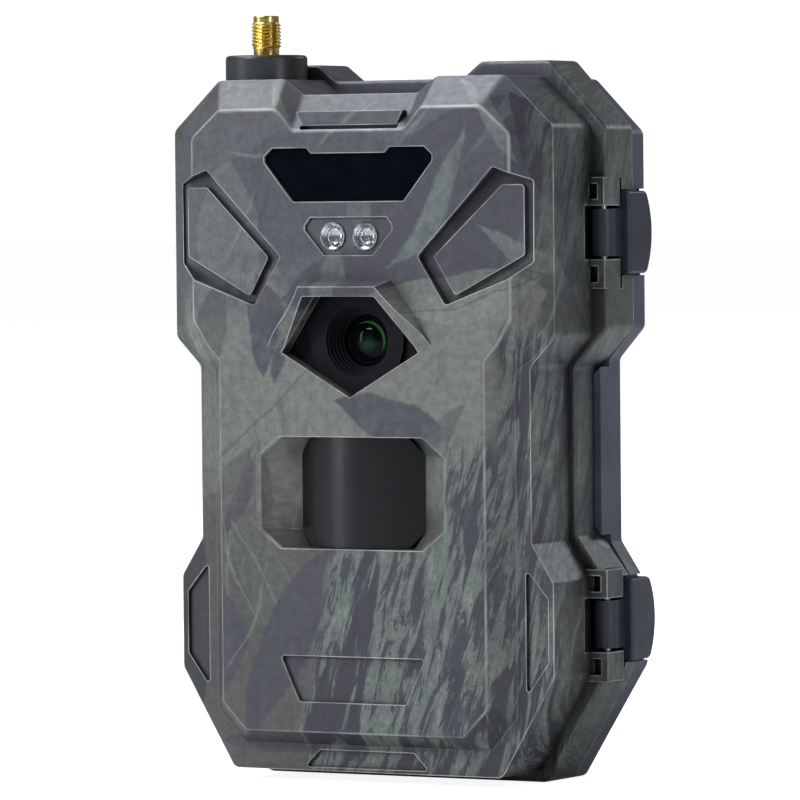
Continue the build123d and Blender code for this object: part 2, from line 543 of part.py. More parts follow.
# ---------------------------------------------------------------- latches
def paddle_profile(z):
    """Outline of a paddle seen from the side, (depth, z): straight front, convex back."""
    low, high = z
    corner_depth = PADDLE_BACK - PADDLE_BOW
    front = PADDLE_FRONT - SOCKET_DEPTH
    corner = corner_depth - SOCKET_DEPTH
    back = PADDLE_BACK - SOCKET_DEPTH
    middle = (low + high) / 2.0
    arc = ThreePointArc((corner, high), (back, middle), (corner, low))
    rest = Polyline((corner, low), (front, low), (front, high), (corner, high))
    return make_face([arc, rest])


def make_latch(name, spans):
    """Arm with its barrel, paddle and toe, and the pin it turns on."""
    lower, barrel_z, upper, paddle_z = spans
    paddle = extrude(Plane.YZ.offset(PADDLE_INNER_X) * paddle_profile(paddle_z),
                     PADDLE_OUTER_X - PADDLE_INNER_X)
    corners = paddle.edges().filter_by(Axis.X).group_by(Axis.Y)[1]
    paddle = fillet(corners, PADDLE_CORNER)
    paddle = fillet(paddle.faces().sort_by(Axis.X)[-1].edges(), PADDLE_EDGE)
    arm = paddle + rod_z(LATCH_X, LATCH_DEPTH, LATCH_BARREL_RADIUS, barrel_z)
    arm += block((LATCH_X + 0.3, LATCH_X + 2.0), (LATCH_DEPTH, PADDLE_FRONT + 1.0), barrel_z)
    toe_z = (barrel_z[0] + TOE_INSET, barrel_z[1] - TOE_INSET)
    arm += block((TOE_X, PADDLE_INNER_X + 0.5), (35.0, 36.2), toe_z)
    arm -= rod_z(LATCH_X, LATCH_DEPTH, LATCH_PIN_RADIUS + LATCH_PIN_PLAY, barrel_z)
    save(f"latch_arm_{name}", arm)
    save(f"latch_pin_{name}", rod_z(LATCH_X, LATCH_DEPTH, LATCH_PIN_RADIUS, (lower[0], upper[1])))


# ---------------------------------------------------------------- rear half
def inset_ring(near, far):
    """Ring that follows the rim of the rear half, where the gasket lies."""
    outer = offset(face_of(mirrored(REAR_RIM)), -GASKET_INSET)
    inner = offset(face_of(mirrored(REAR_RIM)), -GASKET_INSET - GASKET_WIDTH)
    return extrude(level(far) * (outer - inner), far - near)


def make_rear_housing():
    """Dark shell that holds the cells, with the tripod boss, tree ribs and strap slots."""
    shell = slab(mirrored(REAR_RIM), REAR_FRONT, RIM_BACK, CORNER)
    shell += taper(mirrored(REAR_START), RIM_BACK, mirrored(REAR_END), REAR_BACK, CORNER)
    shell = fillet(edges_between(shell, REAR_BACK - 0.01, REAR_BACK + 0.01), 1.2)
    # lip that covers the flange at the waist of the latch side
    shell += slab([(40.35, 51.5), (41.9, 50.0), (41.9, 84.0), (40.35, 82.5)], 29.0, REAR_FRONT + 1.0)
    shell -= slab(mirrored(REAR_CAVITY), REAR_FRONT - 1.0, RIM_BACK, 1.0)
    shell -= taper(mirrored(REAR_CAVITY), RIM_BACK - 0.01, mirrored(REAR_CAVITY_END), 53.4, 1.0)
    shell -= inset_ring(REAR_FRONT - 0.5, GASKET_SEAT)
    shell += block((-31.5, 14.0), (RIM_BACK - 1.0, 50.5), (0.0, 11.5))
    # ribs that bear on the tree, with a slot for the strap behind the back wall
    for side in (1, -1):
        middle = side * TREE_RIB_X
        rib = block((middle - TREE_RIB_HALF, middle + TREE_RIB_HALF), (REAR_BACK - 1.0, TREE_RIB_BACK),
                    TREE_RIB_Z)
        rib = chamfer(rib.edges().filter_by(Axis.X).sort_by(Axis.Y)[-2:], TREE_RIB_CHAMFER)
        wide = TREE_RIB_HALF + 1.0
        notch = Rot(45, 0, 0) * Box(2.0 * wide, TOOTH_SIZE, TOOTH_SIZE)
        for tooth in range(TOOTH_COUNT):
            rib -= Pos(middle, TREE_RIB_BACK - SOCKET_DEPTH, TOOTH_START + tooth * TOOTH_PITCH) * notch
        rib -= block((middle - wide, middle + wide), STRAP_DEPTH, STRAP_Z)
        shell += rib
    shell -= rod_z(0.0, SOCKET_DEPTH, INSERT_RADIUS, (-1.0, INSERT_LENGTH))
    shell -= rod_z(JACK_X, SOCKET_DEPTH, JACK_RADIUS, (1.0, 12.0))
    shell -= block((JACK_X - 7.4, JACK_X + 8.3), (39.5, 48.5), (-1.0, JACK_MOUTH))
    for lower, barrel, upper, paddle in LATCHES.values():
        shell -= block((LATCH_POCKET_X, 50.0), (REAR_FRONT - 1.0, PADDLE_BACK + 0.8),
                       (paddle[0] - PADDLE_GAP, paddle[1] + PADDLE_GAP))
        catch_z = (barrel[0] + TOE_INSET, barrel[1] - TOE_INSET)
        shell += block((LATCH_POCKET_X - 0.5, TOE_X - TOE_GAP), (33.3, 34.6), catch_z)
    for leaf in HINGE_LEAVES:
        rear, front = hinge_members(leaf)
        for cut in hinge_relief(front):
            shell -= cut
        for piece in knuckles(rear, (REAR_FRONT, HINGE_DEPTH + 2.6)):
            shell += piece
        shell -= rod_z(HINGE_X, HINGE_DEPTH, HINGE_PIN_RADIUS, (leaf[0] - 1.0, leaf[1] + 1.0))
    return shell


def make_rear_half():
    """Rear shell and everything fixed in it."""
    save("rear_housing", make_rear_housing())
    save("door_gasket", inset_ring(REAR_FRONT + 0.1, GASKET_SEAT))
    pins = [rod_z(HINGE_X, HINGE_DEPTH, HINGE_PIN_RADIUS, leaf) for leaf in HINGE_LEAVES]
    save("hinge_pins", group(pins))
    insert = rod_z(0.0, SOCKET_DEPTH, INSERT_RADIUS, (0.0, INSERT_LENGTH))
    save("tripod_insert", insert - rod_z(0.0, SOCKET_DEPTH, SOCKET_RADIUS, (0.0, SOCKET_LENGTH)))
    jack = rod_z(JACK_X, SOCKET_DEPTH, JACK_RADIUS, (JACK_MOUTH, 11.5))
    jack -= rod_z(JACK_X, SOCKET_DEPTH, JACK_BORE_RADIUS, (JACK_MOUTH, 9.8))
    jack += rod_z(JACK_X, SOCKET_DEPTH, JACK_PIN_RADIUS, (3.0, 10.5))
    save("dc_jack", jack)
    flap = block((JACK_X - 7.0, JACK_X + FLAP_ARM), (39.8, 48.2),
                 (FLAP_Z - FLAP_HALF, FLAP_Z + FLAP_HALF))
    pivot = Pos(JACK_X + FLAP_ARM, 0.0, FLAP_Z) * (Rot(90, 0, 0) * Cylinder(FLAP_HALF, 8.4))
    save("port_flap", flap + pivot)
    tray = block(TRAY_X, (47.0, 53.2), (TRAY_WALLS_Z[0][0], TRAY_WALLS_Z[-1][1]))
    cells = []
    contacts = []
    for z in TRAY_WALLS_Z:
        tray += block(TRAY_WALL_X, (36.4, 49.0), z)
    for x in BATTERY_X:
        for middle in BATTERY_ROWS:
            ends = (middle - CELL_LENGTH / 2.0, middle + CELL_LENGTH / 2.0)
            below = (ends[0] - CONTACT_LENGTH, ends[0])
            above = (ends[1], ends[1] + CONTACT_LENGTH)
            tray -= rod_z(x, CELL_DEPTH, CELL_RADIUS, (below[0], above[1]))
            cells.append(rod_z(x, CELL_DEPTH, CELL_RADIUS, ends))
            contacts.append(rod_z(x, CELL_DEPTH, CONTACT_RADIUS, below))
            contacts.append(rod_z(x, CELL_DEPTH, CONTACT_RADIUS, above))
    for z in TRAY_WALLS_Z:
        tray += block(TRAY_X, (47.0, 49.0), z)
    save("battery_tray", tray)
    save("battery_cells", group(cells))
    save("battery_contacts", group(contacts))
    lid = block((-30.5, 30.5), (34.8, 36.3), (15.0, 127.0))
    for z in (23.0, 27.0):
        lid += block((-14.0, 14.0), (34.0, 34.9), (z, z + 2.0))
    save("battery_door", lid)


save("front_cover", make_front_cover())
make_optics()
make_camera()
make_antenna_port()
make_electronics()
make_inner_panel()
for latch_name, latch_spans in LATCHES.items():
    make_latch(latch_name, latch_spans)
make_rear_half()
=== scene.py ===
"""Looks of the trail camera: camouflage print, plastics, metals, glass and the small detailed pieces."""
import math

import bmesh
import bpy
from mathutils import Matrix, Vector
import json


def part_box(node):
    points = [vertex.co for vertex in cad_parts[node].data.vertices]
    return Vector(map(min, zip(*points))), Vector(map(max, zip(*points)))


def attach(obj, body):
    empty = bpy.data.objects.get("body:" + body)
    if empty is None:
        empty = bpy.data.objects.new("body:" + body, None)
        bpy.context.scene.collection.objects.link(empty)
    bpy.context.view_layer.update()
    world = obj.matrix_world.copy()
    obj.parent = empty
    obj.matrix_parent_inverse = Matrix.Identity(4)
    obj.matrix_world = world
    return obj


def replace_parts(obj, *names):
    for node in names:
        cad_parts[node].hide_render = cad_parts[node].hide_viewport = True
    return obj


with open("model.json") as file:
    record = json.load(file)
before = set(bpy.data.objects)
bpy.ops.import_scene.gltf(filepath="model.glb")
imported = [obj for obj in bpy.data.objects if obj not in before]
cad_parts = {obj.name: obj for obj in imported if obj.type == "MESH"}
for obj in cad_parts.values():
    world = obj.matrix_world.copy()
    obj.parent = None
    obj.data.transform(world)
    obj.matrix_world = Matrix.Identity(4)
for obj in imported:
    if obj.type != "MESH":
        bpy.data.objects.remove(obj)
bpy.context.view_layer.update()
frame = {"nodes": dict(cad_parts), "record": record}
NODES = frame["nodes"]
BODY_OF = {node: body for body, members in frame["record"]["behaviour"]["bodies"].items() for node in members}
SLOT_OF = {part["node"]: part["material_slot"] for part in frame["record"]["subparts"]}

MM = 0.001
HOOD_STANDS = 5.3 * MM      # how far the rain hood stands out of the panel, the flat face of the nose
FLOOR_GAP = 0.1 * MM        # the floor is a hair below the base, so that no two faces lie in one plane
PANEL_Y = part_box("front_cover")[0].y + HOOD_STANDS
FLOOR_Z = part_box("front_cover")[0].z - FLOOR_GAP

EDGE_RADIUS = 0.4 * MM      # width of the painted edge highlights
CREVICE_REACH = 5.0 * MM    # how far a crevice looks for its other wall
MASK_SAMPLES = 6


# ---------------------------------------------------------------- node helpers
class Graph:
    """Short calls for building a material's node tree."""

    def __init__(self, tree):
        self.tree = tree

    def node(self, kind, **values):
        """A node of this kind; values set its properties or its input sockets by name."""
        made = self.tree.nodes.new(kind)
        for key, value in values.items():
            if hasattr(made, key):
                setattr(made, key, value)
            else:
                self.feed(made.inputs[key.replace("_", " ")], value)
        return made

    def feed(self, socket, value):
        """Puts a number, a colour or another node's output on a socket."""
        if isinstance(value, bpy.types.NodeSocket):
            self.tree.links.new(value, socket)
        else:
            socket.default_value = value

    def math(self, operation, a, b=0.0):
        """A math node on one or two values."""
        made = self.node("ShaderNodeMath", operation=operation)
        for socket, value in zip(made.inputs, (a, b)):
            self.feed(socket, value)
        return made.outputs[0]

    def mix(self, factor, a, b):
        """Colour a to colour b by factor."""
        made = self.node("ShaderNodeMix", data_type="RGBA")
        self.feed(made.inputs[0], factor)
        self.feed(made.inputs[6], a)
        self.feed(made.inputs[7], b)
        return made.outputs[2]

    def ramp(self, value, low, high, start=0.0, end=1.0):
        """Smooth step of a value from low..high to start..end."""
        made = self.node("ShaderNodeMapRange", interpolation_type="SMOOTHSTEP")
        for socket, number in zip(made.inputs, (value, low, high, start, end)):
            self.feed(socket, number)
        return made.outputs[0]

    def noise(self, vector, scale, detail=3.0, roughness=0.55, distortion=0.0):
        """Soft noise between 0 and 1."""
        made = self.node("ShaderNodeTexNoise", Scale=scale, Detail=detail, Roughness=roughness,
                         Distortion=distortion)
        self.feed(made.inputs["Vector"], vector)
        return made.outputs["Fac"]

    def scaled(self, vector, size, rotation=(0, 0, 0)):
        """A vector turned and scaled."""
        made = self.node("ShaderNodeMapping", vector_type="POINT")
        made.inputs["Scale"].default_value = size
        made.inputs["Rotation"].default_value = rotation
        self.feed(made.inputs["Vector"], vector)
        return made.outputs[0]

    def position(self):
        """Place on the object at rest, in metres."""
        return self.node("ShaderNodeTexCoord").outputs["Object"]

    def axes(self, vector):
        """The x, y and z of a vector."""
        made = self.node("ShaderNodeSeparateXYZ")
        self.feed(made.inputs[0], vector)
        return made.outputs


def colour(r, g, b):
    """Linear colour from 0..255 display values."""
    def linear(value):
        v = value / 255.0
        return v / 12.92 if v <= 0.04045 else ((v + 0.055) / 1.055) ** 2.4
    return (linear(r), linear(g), linear(b), 1.0)


def shaded(base, factor, lift=0.0):
    """A linear colour made lighter or darker."""
    return [min(1.0, channel * factor + lift) for channel in base[:3]] + [1.0]


def new_material(name, roughness, metallic=0.0, coat=0.0, coat_roughness=0.1, specular=0.5,
                 transmission=0.0):
    """A material with its shader; returns (material, graph, shader)."""
    material = bpy.data.materials.new(name)
    material.use_nodes = True
    shader = material.node_tree.nodes["Principled BSDF"]
    shader.inputs["Roughness"].default_value = roughness
    shader.inputs["Metallic"].default_value = metallic
    shader.inputs["Coat Weight"].default_value = coat
    shader.inputs["Coat Roughness"].default_value = coat_roughness
    shader.inputs["Specular IOR Level"].default_value = specular
    shader.inputs["Transmission Weight"].default_value = transmission
    return material, Graph(material.node_tree), shader


def bump(graph, shader, height, strength, distance):
    """Bump from a height."""
    made = graph.node("ShaderNodeBump", Strength=strength, Distance=distance)
    graph.feed(made.inputs["Height"], height)
    graph.feed(shader.inputs["Normal"], made.outputs[0])


def edge_mask(graph):
    """One on sharp outward edges, zero on flats and in inner corners."""
    bevel = graph.node("ShaderNodeBevel", samples=MASK_SAMPLES, Radius=EDGE_RADIUS)
    geometry = graph.node("ShaderNodeNewGeometry")
    dot = graph.node("ShaderNodeVectorMath", operation="DOT_PRODUCT")
    graph.feed(dot.inputs[0], bevel.outputs[0])
    graph.feed(dot.inputs[1], geometry.outputs["Normal"])
    bent = graph.ramp(dot.outputs["Value"], 0.995, 0.90)
    open_side = graph.node("ShaderNodeAmbientOcclusion", samples=MASK_SAMPLES, Distance=EDGE_RADIUS * 3.0)
    return graph.math("MULTIPLY", bent, graph.ramp(open_side.outputs["AO"], 0.75, 0.97))


def crevice_mask(graph):
    """One in grooves and inner corners."""
    shade = graph.node("ShaderNodeAmbientOcclusion", samples=MASK_SAMPLES, Distance=CREVICE_REACH)
    return graph.ramp(shade.outputs["AO"], 0.93, 0.45)


# ---------------------------------------------------------------- moulded plastics
def plastic(name, base, roughness, grain=0.5, edge=1.35, coat=0.0, specular=0.5):
    """Moulded plastic: fine sparked grain, faint mottling, and sharp edges lightened as a painted highlight.
    """
    material, g, shader = new_material(name, roughness, coat=coat, specular=specular)
    where = g.position()
    mottle = g.noise(where, scale=90.0, detail=4.0)
    body = g.mix(g.ramp(mottle, 0.3, 0.7), shaded(base, 0.82), shaded(base, 1.18))
    # painted highlight: sharp outward edges are made lighter by the factor edge
    body = g.mix(g.math("MULTIPLY", edge_mask(g), 0.8), body, shaded(base, edge, lift=0.01))
    g.feed(shader.inputs["Base Color"], body)
    fine = g.noise(where, scale=2600.0, detail=2.0, roughness=0.6)
    streak = g.noise(where, scale=240.0)
    g.feed(shader.inputs["Roughness"], g.ramp(streak, 0.3, 0.7, roughness - 0.05, roughness + 0.07))
    bump(g, shader, fine, strength=grain * 0.25, distance=0.1 * MM)
    return material


# ---------------------------------------------------------------- camouflage print
VEIN_SLANT = 0.9            # how far a side vein runs along the leaf for each millimetre across it
VEIN_SPACING = 4.6          # millimetres


def leaf_group():
    """Node group: one printed leaf on the (u, v) sheet, in millimetres.

    Inputs are the sheet position, the leaf's middle, its turn in radians, its half length and
    half width, and how far it bends.  Outputs are its area and its veins.
    """
    group = bpy.data.node_groups.new("printed_leaf", "ShaderNodeTree")
    for name in ("U", "V", "Middle U", "Middle V", "Turn", "Length", "Width", "Bend"):
        group.interface.new_socket(name, in_out="INPUT", socket_type="NodeSocketFloat")
    for name in ("Area", "Veins"):
        group.interface.new_socket(name, in_out="OUTPUT", socket_type="NodeSocketFloat")
    g = Graph(group)
    given = g.node("NodeGroupInput").outputs
    u = g.math("SUBTRACT", given["U"], given["Middle U"])
    v = g.math("SUBTRACT", given["V"], given["Middle V"])
    cosine = g.math("COSINE", given["Turn"])
    sine = g.math("SINE", given["Turn"])
    along = g.math("ADD", g.math("MULTIPLY", u, cosine), g.math("MULTIPLY", v, sine))
    across = g.math("SUBTRACT", g.math("MULTIPLY", v, cosine), g.math("MULTIPLY", u, sine))
    part = g.math("DIVIDE", along, given["Length"])
    square = g.math("MULTIPLY", part, part)
    across = g.math("SUBTRACT", across, g.math("MULTIPLY", square, given["Bend"]))
    # the outline is a parabola on each side of the middle rib
    half = g.math("MULTIPLY", g.math("SUBTRACT", 1.0, square), given["Width"])
    side = g.math("ABSOLUTE", across)
    inside = g.math("SUBTRACT", half, side)
    area = g.ramp(inside, -0.35, 0.4)
    # the middle rib, side veins slanting off it, and the rim
    rib = g.ramp(side, 0.45, 0.12)
    herring = g.math("PINGPONG", g.math("ADD", along, g.math("MULTIPLY", side, VEIN_SLANT)), VEIN_SPACING)
    side_veins = g.math("MULTIPLY", g.ramp(herring, 0.3, 0.06), 0.5)
    rim = g.ramp(g.math("ABSOLUTE", inside), 0.42, 0.05)
    veins = g.math("MAXIMUM", g.math("MAXIMUM", rib, side_veins), g.math("MULTIPLY", rim, 0.9))
    out = g.node("NodeGroupOutput")
    g.feed(out.inputs["Area"], area)
    g.feed(out.inputs["Veins"], g.math("MULTIPLY", veins, area))
    return group


SLATE = colour(64, 63, 75)
DEEP = colour(40, 40, 47)
SAGE = colour(104, 114, 108)
PALE = colour(130, 136, 128)
STONE = colour(117, 119, 112)
OLIVE = colour(76, 79, 71)
BROWN = colour(86, 84, 81)
INK = colour(34, 33, 40)
GREY_GREEN = colour(82, 89, 85)
MIST = colour(86, 87, 94)

# Printed shapes and one painted highlight, painted in this order, in millimetres on the flattened sheet:
# middle (u, v), turn in degrees, half length, half width, bend, colour, strength, vein colour or None
SHAPES = (
    ((-34, 127), 60, 13, 8, 0, GREY_GREEN, 0.6, None),
    ((-12, 120), 20, 30, 13, -4, SLATE, 0.55, None),
    ((-20, 141), 8, 24, 5, 2, BROWN, 0.8, None),
    ((-30, 111), 75, 16, 9, 1, SAGE, 0.6, None),
    ((8, 104), 8, 26, 7, -2, SLATE, 0.85, None),
    ((-3, 103), 80, 7, 3, 1, SAGE, 0.8, None),
    ((14, 119), 52, 30, 7, -4, SLATE, 0.95, None),
    ((2, 116.5), 84, 4, 3, 0, SAGE, 0.6, None),
    ((21, 116), 57, 17, 2.4, 4, SAGE, 0.95, None),
    ((33, 118), 66, 24, 8, -2, SLATE, 0.85, None),
    ((33, 132), -58, 9, 1.6, 2, SAGE, 0.8, None),
    ((42, 107), -14, 14, 2.6, 3, SAGE, 0.9, None),
    ((-20, 74), 40, 24, 17, 0, STONE, 0.9, None),
    ((-26, 75), 84, 18, 5, -1, SAGE, 0.6, None),
    ((-20, 75), 40, 16, 9, 0, STONE, 0.5, INK),
    ((-20, 94), 100, 11, 4.5, 2, SLATE, 0.95, None),
    ((-16, 86), 66, 5, 1.5, 0, SLATE, 0.9, None),
    ((-33, 92), 84, 12, 3.5, -2, DEEP, 0.5, None),
    ((23, 92), 12, 26, 12, 3, STONE, 0.85, None),
    ((24, 86), -12, 22, 9, 4, STONE, 0.8, None),
    ((30, 98), 14, 18, 5, 1, PALE, 0.45, INK),
    ((10, 74), -16, 14, 5, 1, SLATE, 0.95, None),
    ((20, 71), 35, 10, 2.4, 1, GREY_GREEN, 0.8, None),
    ((-28, 50), 78, 20, 9, -2, BROWN, 0.85, PALE),
    ((-22, 32), 96, 17, 8, 2, OLIVE, 0.8, None),
    ((-31, 26), 80, 13, 5, 2, SLATE, 0.75, None),
    ((-25, 57), 66, 10, 2.0, 3, SLATE, 0.8, None),
    ((-20, 40), 112, 15, 5, 2, GREY_GREEN, 0.8, PALE),
    ((-15, 30), 63, 25, 6, -2, SLATE, 0.95, None),
    ((-20, 6), 6, 16, 4, 1, SLATE, 0.7, None),
    ((-49, 30), 88, 26, 9, 0, DEEP, 0.8, None),
    ((-46, 76), 88, 26, 5, 0, GREY_GREEN, 0.7, None),
    ((-46, 112), 88, 18, 5, 0, MIST, 0.6, None),
    ((48, 128), -48, 18, 7, 0, DEEP, 0.85, None),
    ((58, 116), 84, 16, 8, 0, DEEP, 0.75, None),
    ((66, 112), 80, 16, 4.5, 1, SAGE, 0.8, None),
    ((54, 88), 80, 14, 7, 2, DEEP, 0.6, None),
    ((63, 70), 88, 20, 5, 0, SAGE, 0.55, None),
    ((56, 56), 20, 10, 5, 1, DEEP, 0.5, None),
    # painted highlight: this pale patch stands where the slanted facet at the waist faces up to the light
    ((69, 52), -62, 5, 3.2, 0, colour(168, 172, 170), 0.9, None),
    ((60, 22), 60, 22, 7, 3, BROWN, 0.5, None),
)

# Thin pale twigs: middle (u, v), turn in degrees, half length, half width, bend
TWIGS = (
    ((-1, 134), 42, 10, 0.5, 0.4),
    ((-17, 139), -62, 6, 1.0, 0.3),
    ((16.5, 133), 50, 4.5, 0.5, 0.2),
    ((-25, 114), 57, 8, 0.3, 0.3),
    ((-23, 128), -6, 6, 0.35, 0.2),
    ((-14, 61), 78, 9, 0.4, 0.5),
    ((26, 141), -56, 7, 0.9, 0.3),
    ((-24, 33), 66, 13, 0.35, 1.0),
    ((-28, 44), -74, 12, 0.3, 1.5),
    ((50, 98), 60, 14, 0.35, 2.0),
    ((58, 36), 76, 16, 0.4, 2.0),
)


SAME_SIZE = (1.0, 1.0, 1.0)
LEAF_VEIN_STRENGTH = 0.35
TWIG_STRENGTH = 0.55
BARK_LEAN = math.radians(17)    # the bark's streaks lean to the right on their way up


def pushed(g, place, scale, detail, reach):
    """Noise from minus half to plus half the reach, in millimetres."""
    return g.math("MULTIPLY", g.math("SUBTRACT", g.noise(place, scale, detail), 0.5), reach)


def wobbled(g, value, place):
    """A sheet coordinate pushed about by slow and by fine noise."""
    slow = pushed(g, place, scale=0.045, detail=1.0, reach=7.0)
    fine = pushed(g, place, scale=0.55, detail=3.0, reach=0.9)
    return g.math("ADD", value, g.math("ADD", slow, fine))


def flattened(g, x, depth, z):
    """Place on the sheet that wraps the shell: depth carries on outwards from the panel's edges."""
    out_x = g.math("MULTIPLY", g.math("SIGN", x), g.ramp(g.math("ABSOLUTE", x), 30.0, 42.0, 0.0, 0.9))
    out_z = g.math("SUBTRACT", g.ramp(z, 132.0, 143.0, 0.0, 0.7), g.ramp(z, 14.0, 3.0, 0.0, 0.7))
    u = g.math("ADD", x, g.math("MULTIPLY", depth, out_x))
    v = g.math("ADD", z, g.math("MULTIPLY", depth, out_z))
    flat = g.node("ShaderNodeCombineXYZ")
    g.feed(flat.inputs[0], u)
    g.feed(flat.inputs[1], v)
    return flat.outputs[0], u, v


def ground(g, sheet, u, v):
    """Colours under the print: brown below, stone in the middle, mist above, olive at the sides."""
    cloud = g.noise(sheet, scale=0.07, detail=4.0, roughness=0.6)
    rough_v = g.math("ADD", v, g.math("MULTIPLY", g.math("SUBTRACT", cloud, 0.5), 34.0))
    body = g.mix(g.ramp(rough_v, 52.0, 62.0), BROWN, STONE)
    body = g.mix(g.ramp(rough_v, 94.0, 104.0), body, MIST)
    outside = g.mix(g.ramp(cloud, 0.42, 0.58), OLIVE, GREY_GREEN)
    return g.mix(g.ramp(g.math("ABSOLUTE", u), 40.0, 47.0), body, outside)


def painted_shade_and_highlights(g, where, depth, body):
    """Painted shade in the crevices, and painted highlights, uneven like wear, on the edges and the nose rim.
    """
    # painted shade: grooves and inner corners are darkened to near-black
    body = g.mix(g.math("MULTIPLY", crevice_mask(g), 0.85), body, colour(16, 16, 20))
    # painted highlights on the sharp outward edges, stronger or weaker at random like wear
    highlight_wear = g.ramp(g.noise(where, scale=70.0, detail=4.0, roughness=0.65), 0.35, 0.65, 0.3, 0.9)
    body = g.mix(g.math("MULTIPLY", edge_mask(g), highlight_wear), body, colour(222, 224, 216))
    # painted highlight on the nose rim, which lies within a millimetre behind the panel
    rim = g.math("MULTIPLY", g.ramp(depth, 0.02, 0.2), g.ramp(depth, 0.62, 0.4))
    return g.mix(g.math("MULTIPLY", g.math("MULTIPLY", rim, highlight_wear), 0.6), body, colour(196, 198, 192))


def camouflage():
    """Dipped leaf-and-bark print with satin varnish, moulded grain, painted shade in the crevices and painted
    highlights on the edges.
    """
    material, g, shader = new_material("camo_print", 0.42, coat=0.15, coat_roughness=0.35)
    where = g.position()
    axes = g.axes(where)
    depth = g.math("DIVIDE", g.math("SUBTRACT", axes[1], PANEL_Y), MM)
    sheet, u, v = flattened(g, g.math("DIVIDE", axes[0], MM), depth, g.math("DIVIDE", axes[2], MM))
    # a slow wobble and a small ragged one keep every outline from being a clean curve; the one of v
    # is read from the turned sheet, so that it isn't the same as that of u
    u = wobbled(g, u, sheet)
    v = wobbled(g, v, g.scaled(sheet, SAME_SIZE, (0.0, 0.0, 1.3)))
    body = ground(g, sheet, u, v)
    group = leaf_group()
    patchy = g.ramp(g.noise(sheet, 0.24, 5.0, 0.65, 0.6), 0.36, 0.56, 0.78, 1.0)

    def printed(middle, turn, length, width, bend):
        """Area and veins of one leaf."""
        made = g.node("ShaderNodeGroup", node_tree=group)
        values = (u, v, middle[0], middle[1], math.radians(turn), length, width, bend)
        for socket, value in zip(made.inputs, values):
            g.feed(socket, float(value) if isinstance(value, (int, float)) else value)
        return made.outputs["Area"], made.outputs["Veins"]

    for middle, turn, length, width, bend, tint, strength, vein_tint in SHAPES:
        area, veins = printed(middle, turn, length, width, bend)
        ink = g.math("MULTIPLY", area, g.math("MULTIPLY", patchy, strength))
        body = g.mix(ink, body, tint)
        if vein_tint is not None:
            body = g.mix(g.math("MULTIPLY", veins, LEAF_VEIN_STRENGTH), body, vein_tint)
    body = bark(g, sheet, u, v, body)
    for middle, turn, length, width, bend in TWIGS:
        area, _ = printed(middle, turn, length, width, bend)
        body = g.mix(g.math("MULTIPLY", area, TWIG_STRENGTH), body, PALE)
    # mottled ink, soft slanting shadows and fine speckle
    mottle = g.noise(sheet, scale=0.5, detail=5.0, roughness=0.7)
    body = g.mix(g.ramp(mottle, 0.36, 0.64, 0.0, 0.6), body, g.mix(0.55, body, INK))
    shadow = g.noise(g.scaled(sheet, (1.0, 0.35, 1.0), (0.0, 0.0, 0.5)), 0.16, 5.0, 0.65, 0.8)
    body = g.mix(g.ramp(shadow, 0.54, 0.66, 0.0, 0.35), body, DEEP)
    speckle = g.noise(sheet, scale=2.4, roughness=0.7)
    body = g.mix(g.ramp(speckle, 0.55, 0.75, 0.0, 0.22), body, PALE)
    # the print gets painted shade in its crevices and painted highlights on its edges and nose rim
    g.feed(shader.inputs["Base Color"], painted_shade_and_highlights(g, where, depth, body))
    g.feed(shader.inputs["Roughness"], g.ramp(mottle, 0.3, 0.7, 0.36, 0.5))
    fine = g.noise(where, scale=2100.0, detail=2.0, roughness=0.6)
    bump(g, shader, fine, strength=0.22, distance=0.12 * MM)
    return material


def bark(g, sheet, u, v, body):
    """Bark streaks over the lower right, up the right side and faintly in the top corner."""
    along = g.scaled(sheet, SAME_SIZE, (0.0, 0.0, BARK_LEAN))
    broad = g.noise(g.scaled(along, (0.20, 0.026, 1.0)), 1.0, 5.0, 0.6, 0.5)
    streak = g.noise(g.scaled(along, (0.46, 0.075, 1.0)), 1.0, 6.0, 0.7, 0.8)
    flecks = g.noise(g.scaled(along, (2.2, 0.7, 1.0)), 1.0, 4.0, 0.7)
    wood = g.mix(g.ramp(broad, 0.42, 0.58), colour(103, 115, 108), colour(112, 117, 110))
    wood = g.mix(g.ramp(streak, 0.43, 0.36, 0.0, 0.9), wood, colour(128, 138, 128))
    wood = g.mix(g.ramp(streak, 0.50, 0.55, 0.0, 0.95), wood, colour(54, 53, 62))
    wood = g.mix(g.ramp(broad, 0.52, 0.57, 0.0, 0.95), wood, colour(46, 45, 55))
    wood = g.mix(g.ramp(flecks, 0.60, 0.67, 0.0, 0.9), wood, colour(38, 37, 43))
    # below the sensor window, beside it, and fading out on the side wall
    slant = g.math("SUBTRACT", u, g.math("MULTIPLY", v, 0.2))
    low = g.math("MULTIPLY", g.ramp(slant, -15.5, -13.0), g.ramp(v, 52.0, 46.0))
    beside = g.math("MULTIPLY", g.ramp(u, 19.0, 22.0), g.ramp(v, 74.0, 66.0))
    wall = g.math("MULTIPLY", g.ramp(u, 32.0, 36.0), g.ramp(v, 96.0, 88.0))
    area = g.math("MAXIMUM", low, g.math("MAXIMUM", beside, wall))
    area = g.math("MULTIPLY", area, g.ramp(u, 60.0, 42.0, 0.35, 1.0))
    corner = g.math("MULTIPLY", g.ramp(u, 40.0, 44.0, 0.0, 0.45), g.ramp(v, 100.0, 112.0))
    return g.mix(g.math("MAXIMUM", area, corner), body, wood)


# ---------------------------------------------------------------- glass, metals, boards
ACRYLIC_IOR = 1.49


